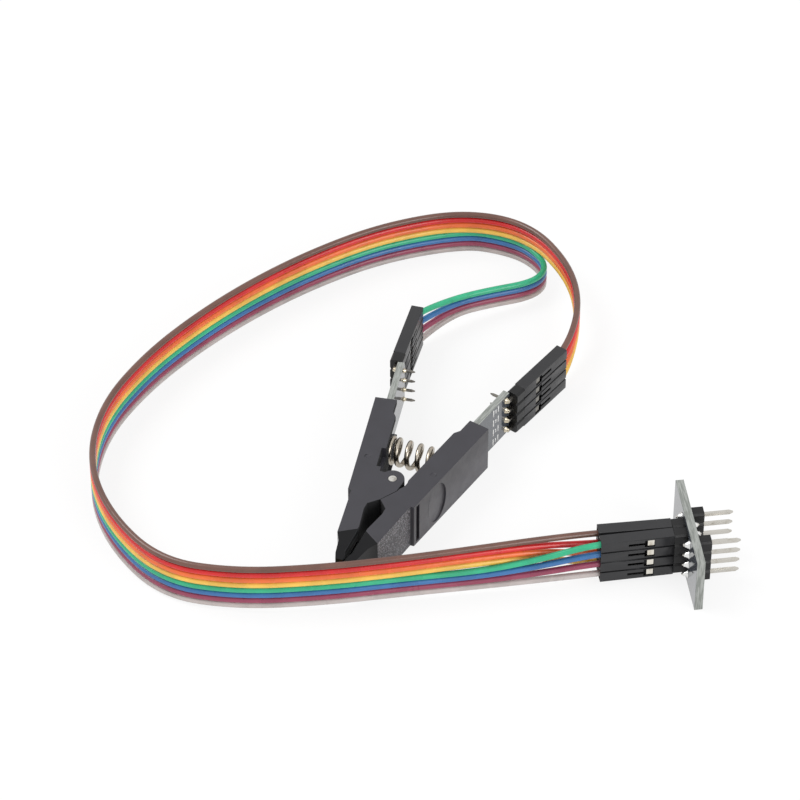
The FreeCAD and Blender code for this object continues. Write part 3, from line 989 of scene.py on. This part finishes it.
def rounded(
    frame: dict,
    node: str,
    finish: Material,
    body: str,
    width: float,
    least: float = 0.0,
    sharp: float = 28.0,
) -> Piece:
    """Replaces a node by a copy whose sharp edges are rounded a little, as they are on the real piece.

    Args:
        frame: The loaded frame.
        node: The node's name.
        finish: The copy's material.
        body: The body that it rides on.
        width: Width of the rounding.
        least: Least length of an edge that is rounded.
        sharp: Least angle, in degrees, of an edge that is rounded.

    Returns:
        The copy.
    """
    form = merged(frame, node)
    bmesh.ops.dissolve_limit(form, angle_limit=math.radians(0.5), verts=form.verts, edges=form.edges)
    long_edges = [edge for edge in form.edges if edge.is_manifold and edge.calc_length() >= least]
    edges = [edge for edge in long_edges if edge.calc_face_angle() > math.radians(sharp)]
    bmesh.ops.bevel(
        form,
        geom=edges,
        offset=width,
        offset_type="OFFSET",
        segments=2,
        profile=0.5,
        affect="EDGES",
        material=-1,
        clamp_overlap=False,
    )
    piece = finished("rounded_" + node, form, finish)
    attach(piece, body)
    weighted = piece.modifiers.new("even_faces", "WEIGHTED_NORMAL")
    weighted.keep_sharp = True
    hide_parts(node)
    log.info("node %s is rounded by %.2f mm", node, width / MM)
    return piece


def dress(frame: dict, node: str, finish: Material) -> None:
    """Gives a node of the frame its material.

    Args:
        frame: The loaded frame.
        node: The node's name.
        finish: The material.
    """
    piece = frame["nodes"][node]
    if not piece.material_slots:
        piece.data.materials.append(finish)
    for slot in piece.material_slots:
        slot.material = finish
    log.info("node %s has %s", node, finish.name)


@dataclass
class Connectors:
    """Headers, plugs, sockets and the adapter's own nodes."""

    frame: dict
    grip: Grip
    adapter: AdapterFrame
    header: Moulding = Moulding(
        "header_plastic", linear(16, 16, 17), linear(24, 24, 25), roughness=0.36, gloss=0.3
    )
    plug: Moulding = Moulding(
        "plug_plastic", linear(30, 30, 32), linear(38, 38, 40), roughness=0.36, gloss=0.4
    )
    post: Metal = Metal("post_tin", linear(200, 197, 190), linear(178, 173, 162), roughness=0.27)
    tail: Metal = Metal("tail_tin", linear(128, 124, 118), linear(88, 85, 80), roughness=0.36)
    rim: float = 3.5 * MM
    slim: float = 0.66

    def slim_tails(self, side: Side, finish: Material) -> Piece:
        """The bent posts of one side as a copy whose clipped tails are thinner behind the board.

        Args:
            side: Which side.
            finish: Their material.

        Returns:
            The copy.
        """
        node = "header_pins_" + side.label
        form = merged(self.frame, node)
        heights = self.grip.plug(side).heights()
        inner = self.grip.board_floor + self.grip.board_thickness
        face = self.grip.point(side, inner, self.grip.pin_row)
        inward = -self.grip.outward(side)
        lengthwise = Vector((0, 0, 1)).cross(inward)
        parts = form.verts[:] + form.edges[:] + form.faces[:]
        bmesh.ops.bisect_plane(form, geom=parts, dist=MERGE, plane_co=face, plane_no=inward)
        for vertex in form.verts:
            depth = (vertex.co - face).dot(inward)
            if depth > -0.01 * MM:
                level = vertex.co.z
                height = min(heights, key=lambda way: abs(way - level))
                middle = face + inward * depth
                shift = (vertex.co - middle).dot(lengthwise) * self.slim
                vertex.co = middle + lengthwise * shift
                vertex.co.z = height + (level - height) * self.slim
        piece = finished("slim_" + node, form, finish)
        piece.data.shade_flat()
        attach(piece, side.body)
        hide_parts(node)
        log.info("node %s has slim tails", node)
        return piece

    def crimps(self, name: str, plug: PlugEnd, painted_light_level: float) -> Material:
        """The metal of one plug's crimps.

        Args:
            name: The material's name.
            plug: The plug.
            painted_light_level: Scale on the tin's colour; below 1 it makes a copy of the tin with painted
                shade.

        Returns:
            The material.
        """
        clean, tarnish = (
            tuple(channel * painted_light_level for channel in colour)
            for colour in (linear(226, 222, 212), linear(190, 182, 166))
        )
        metal = CrimpMetal(name, clean, tarnish, roughness=0.26, mouth=plug.mouth, turn=plug.turn)
        return metal.material()

    def build(self) -> None:
        """Dresses each node."""
        header = self.header.material()
        plug = self.plug.material()
        post = self.post.material()
        tail = self.tail.material()
        for side in Side:
            rounded(self.frame, "header_" + side.label, header, side.body, 0.06 * MM)
            self.slim_tails(side, tail)
            rounded(self.frame, "plug_" + side.label, plug, side.body, 0.07 * MM, self.rim)
            # The clip's crimps have painted shade: the adapter's tin at 0.3 of its colour.
            crimp = self.crimps("crimp_" + side.label, self.grip.plug(side), 0.3)
            dress(self.frame, "sockets_" + side.label, crimp)
        mask = BoardFinish("board_adapter", self.adapter.turn).material()
        rounded(self.frame, "adapter_board", mask, ROOT, 0.06 * MM)
        rounded(self.frame, "adapter_header", header, ROOT, 0.06 * MM)
        dress(self.frame, "adapter_header_pins", post)
        for row in ("far", "near"):
            rounded(self.frame, "dip_strip_" + row, header, ROOT, 0.06 * MM)
            dress(self.frame, "dip_pins_" + row, post)
            rounded(self.frame, "adapter_plug_" + row, plug, ROOT, 0.07 * MM, self.rim)
            crimp = self.crimps("crimp_adapter_" + row, self.adapter.plug(row == "far"), 1.0)
            dress(self.frame, "adapter_sockets_" + row, crimp)


@dataclass
class Solder:
    """Soldered joints: a shiny fillet round each post on a board's face."""

    grip: Grip
    adapter: AdapterFrame
    pad_radius: float = 0.92 * MM
    neck_radius: float = 0.42 * MM
    fillet_height: float = 0.95 * MM
    tail_size: float = 0.6
    leg_size: float = 0.82
    bright: Metal = Metal(
        "solder", linear(226, 226, 224), linear(170, 170, 170), roughness=0.16, depth=0.02 * MM
    )
    warm: Metal = Metal(
        "solder_warm", linear(206, 197, 176), linear(142, 132, 110), roughness=0.2, depth=0.02 * MM
    )

    def build(self) -> None:
        """Makes the joints of the three boards."""
        finish = self.warm.material()
        for side in Side:
            heights = self.grip.plug(side).heights()
            back = self.grip.board_floor + self.grip.board_thickness
            for face, inward, sign, size in (
                ("outer", self.grip.board_floor, 1, self.leg_size),
                ("inner", back, -1, self.tail_size),
            ):
                base = self.grip.point(side, inward, self.grip.pin_row)
                feet = [Vector((base.x, base.y, height)) for height in heights]
                outward = self.grip.outward(side) * sign
                self.joints(f"solder_{side.label}_{face}", feet, outward, side.body, finish, size)
        finish = self.bright.material()
        heights = self.adapter.plug(True).heights()
        outward = self.adapter.outward()
        for name, along, spacing, sign in (
            ("cable", 0.0, self.adapter.row_spacing, -1),
            ("socket", self.adapter.thickness, PIN_PITCH, 1),
        ):
            rows = (spacing / 2, -spacing / 2)
            feet = [self.adapter.point(along, across, height) for across in rows for height in heights]
            self.joints("solder_adapter_" + name, feet, outward * sign, ROOT, finish)

    def joints(
        self,
        name: str,
        feet: list[Vector],
        direction: Vector,
        body: str,
        finish: Material,
        size: float = 1.0,
    ) -> Piece:
        """Makes a row of joints as one piece.

        Args:
            name: The piece's name.
            feet: The middles of the pads.
            direction: The way that the joints stand out of the board.
            body: The body that they ride on.
            finish: Their material.
            size: Their size beside that of a full joint.

        Returns:
            The piece.
        """
        form = bmesh.new()
        turn = direction.to_track_quat("Z", "Y").to_matrix().to_4x4()
        for foot in feet:
            self.fillet(form, Matrix.Translation(foot) @ turn @ Matrix.Scale(size, 4))
        piece = finished(name, form, finish)
        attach(piece, body)
        log.info("piece %s with %d joints", name, len(feet))
        return piece

    def fillet(self, form: Form, place: Matrix) -> None:
        """Adds one joint: a concave cone spun round the post.

        Args:
            form: The form that it is added to.
            place: The joint's frame, with Z out of the board.
        """
        shares = ((1.0, 0.0), (0.94, 0.10), (0.76, 0.34), (0.58, 0.66))
        profile = [(self.pad_radius * wide, 0, self.fillet_height * high) for wide, high in shares]
        profile.append((self.neck_radius, 0, self.fillet_height))
        rim = [form.verts.new(point) for point in profile]
        edges = [form.edges.new(pair) for pair in zip(rim, rim[1:])]
        turn = {"axis": (0, 0, 1), "cent": (0, 0, 0), "angle": math.tau, "steps": 20}
        bmesh.ops.spin(form, geom=rim + edges, use_merge=True, **turn)
        linked = set(rim)
        waiting = list(rim)
        while waiting:
            vertex = waiting.pop()
            for link in vertex.link_edges:
                other = link.other_vert(vertex)
                if other not in linked:
                    linked.add(other)
                    waiting.append(other)
        holes = [e for e in form.edges if e.is_boundary and e.verts[0] in linked]
        bmesh.ops.holes_fill(form, edges=holes, sides=0)
        faces = {face for vertex in linked for face in vertex.link_faces}
        bmesh.ops.recalc_face_normals(form, faces=list(faces))
        bmesh.ops.transform(form, matrix=place, verts=list(linked))


@dataclass(frozen=True)
class Ink:
    """Matt white printing ink with small gaps."""

    name: str
    colour: Rgb = linear(238, 238, 235)
    thin: Rgb = linear(200, 201, 200)

    def material(self) -> Material:
        """Builds the material."""
        shader = Shader(self.name)
        cover = shader.noise(0.3 * MM, 2)
        shader.set(Base_Color=shader.blend(cover, self.thin, self.colour), Roughness=0.6)
        shader.bump(cover, 0.004 * MM)
        return shader.material


@dataclass
class Print:
    """White print on the clip's boards: plain strokes beside each post, with no letters or figures."""

    grip: Grip
    start: float = 2.9 * MM
    step: float = 0.85 * MM
    strokes: tuple[float, ...] = (1.7 * MM, 1.0 * MM, 1.7 * MM)
    width: float = 0.3 * MM
    proud: float = 0.02 * MM

    def build(self) -> None:
        """Makes the strokes of both boards."""
        finish = Ink("print_ink").material()
        for side in Side:
            form = bmesh.new()
            for height in self.grip.plug(side).heights():
                for number, length in enumerate(self.strokes):
                    along = self.grip.pin_row - self.start - number * self.step
                    self.stroke(form, side, along, height, length)
            piece = finished("print_" + side.label, form, finish)
            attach(piece, side.body)
            log.info("piece %s with %d strokes", piece.name, WAYS * len(self.strokes))

    def stroke(
        self, form: Form, side: Side, along: float, height: float, length: float
    ) -> None:
        """Adds one upright stroke.

        Args:
            form: The form that it is added to.
            side: Which board.
            along: Distance of its middle along the grip.
            height: Height of its middle above the table.
            length: How long it is.
        """
        corner = self.grip.point(side, self.grip.board_floor, along, height)
        made = bmesh.ops.create_cube(form, size=1.0)["verts"]
        lean = Matrix.Rotation(-side.value * math.radians(self.grip.lean), 4, "Z")
        size = Matrix.Diagonal((2 * self.proud, self.width, length, 1))
        bmesh.ops.transform(form, matrix=Matrix.Translation(corner) @ lean @ size, verts=made)


@dataclass
class Studio:
    """White table, soft white light and a long lens high on the right of the clip."""

    azimuth: float = 22.5
    elevation: float = 43.0
    distance: float = 0.8
    lens: float = 189.0
    sensor: float = 36.0
    aim: tuple[float, float, float] = (-0.0026, 0.0100, 0.0213)
    world_strength: float = 0.72
    floor_colour: Rgb = (0.86, 0.855, 0.855)
    floor_glow: float = 0.84
    floor_gap: float = 0.02 * MM

    def build(self) -> None:
        """Makes the camera, the light and the table."""
        self.camera()
        self.world()
        self.floor()
        self.lamp("key", Vector((-0.55, -0.1, 0.75)), 0.5, 5.0)
        self.lamp("fill", Vector((0.75, -0.35, 0.4)), 0.6, 5.0)
        bpy.context.scene.view_settings.view_transform = "Standard"

    def camera(self) -> None:
        """A camera at the photograph's angle."""
        azimuth = math.radians(self.azimuth)
        elevation = math.radians(self.elevation)
        back = Vector(
            (
                math.sin(azimuth) * math.cos(elevation),
                -math.cos(azimuth) * math.cos(elevation),
                math.sin(elevation),
            )
        )
        data = bpy.data.cameras.new("camera")
        data.lens = self.lens
        data.sensor_width = self.sensor
        data.clip_start = 0.01
        data.clip_end = 20
        camera = bpy.data.objects.new("camera", data)
        camera.location = Vector(self.aim) + back * self.distance
        camera.rotation_mode = "QUATERNION"
        camera.rotation_quaternion = (-back).to_track_quat("-Z", "Y")
        bpy.context.collection.objects.link(camera)
        bpy.context.scene.camera = camera

    def seen(self, tree: bpy.types.NodeTree) -> Socket:
        """1 for rays from the camera, a reflection or a transmission, and 0 for light that spreads.

        Args:
            tree: The tree that the nodes go in.

        Returns:
            The factor socket.
        """
        path = tree.nodes.new("ShaderNodeLightPath")
        result = path.outputs["Is Camera Ray"]
        for name in ("Is Glossy Ray", "Is Transmission Ray"):
            either = tree.nodes.new("ShaderNodeMath")
            either.operation = "MAXIMUM"
            tree.links.new(result, either.inputs[0])
            tree.links.new(path.outputs[name], either.inputs[1])
            result = either.outputs[0]
        return result

    def world(self) -> None:
        """A white world that lights the object softly and shows white behind it."""
        world = bpy.data.worlds.new("world")
        bpy.context.scene.world = world
        world.use_nodes = True
        tree = world.node_tree
        soft = tree.nodes["Background"]
        soft.inputs["Strength"].default_value = self.world_strength
        soft.inputs["Color"].default_value = (1, 1, 1, 1)
        white = tree.nodes.new("ShaderNodeBackground")
        white.inputs["Color"].default_value = (1, 1, 1, 1)
        self.mixed(tree, "World Output", self.seen(tree), soft, white)

    def mixed(
        self,
        tree: bpy.types.NodeTree,
        output: str,
        share: Socket,
        first: bpy.types.Node,
        second: bpy.types.Node,
    ) -> None:
        """Mixes two shaders as a tree's result.

        Args:
            tree: The tree.
            output: The name of its output node.
            share: 0 gives the first and 1 gives the second.
            first: A shader.
            second: A shader.
        """
        mix = tree.nodes.new("ShaderNodeMixShader")
        for source, target in zip((share, first.outputs[0], second.outputs[0]), mix.inputs):
            tree.links.new(source, target)
        tree.links.new(mix.outputs[0], tree.nodes[output].inputs["Surface"])

    def floor(self) -> None:
        """A plain pale table that keeps a faint shadow."""
        form = bmesh.new()
        bmesh.ops.create_grid(form, x_segments=1, y_segments=1, size=3.0)
        mesh = bpy.data.meshes.new("table")
        form.to_mesh(mesh)
        form.free()
        table = bpy.data.objects.new("table", mesh)
        table.location.z = -self.floor_gap
        bpy.context.collection.objects.link(table)
        material = bpy.data.materials.new("table")
        material.use_nodes = True
        tree = material.node_tree
        matt = tree.nodes["Principled BSDF"]
        matt.inputs["Base Color"].default_value = (*self.floor_colour, 1)
        matt.inputs["Roughness"].default_value = 0.9
        matt.inputs["Specular IOR Level"].default_value = 0.1
        glow = tree.nodes.new("ShaderNodeEmission")
        glow.inputs["Strength"].default_value = 1.0
        share = tree.nodes.new("ShaderNodeMath")
        share.operation = "MULTIPLY"
        share.inputs[1].default_value = self.floor_glow
        tree.links.new(self.seen(tree), share.inputs[0])
        self.mixed(tree, "Material Output", share.outputs[0], matt, glow)
        mesh.materials.append(material)

    def lamp(self, name: str, place: Vector, size: float, energy: float) -> None:
        """A square soft lamp that looks at the clip.

        Args:
            name: The lamp's name.
            place: Where it hangs.
            size: Its side.
            energy: Its power in watts.
        """
        data = bpy.data.lights.new(name, "AREA")
        data.size = size
        data.energy = energy
        lamp = bpy.data.objects.new(name, data)
        lamp.location = place
        lamp.rotation_mode = "QUATERNION"
        lamp.rotation_quaternion = (-place).to_track_quat("-Z", "Y")
        bpy.context.collection.objects.link(lamp)


def main() -> None:
    """Loads the frame, dresses it and makes the studio round it."""
    logging.basicConfig(level=logging.INFO, format="%(name)s: %(message)s")
    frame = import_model()
    grip = Grip()
    adapter = AdapterFrame()
    Studio().build()
    Ribbon(grip, adapter).build()
    Clip(frame, grip).build()
    Connectors(frame, grip, adapter).build()
    Solder(grip, adapter).build()
    Print(grip).build()
    bpy.context.view_layer.update()


if __name__ == "__main__":
    main()
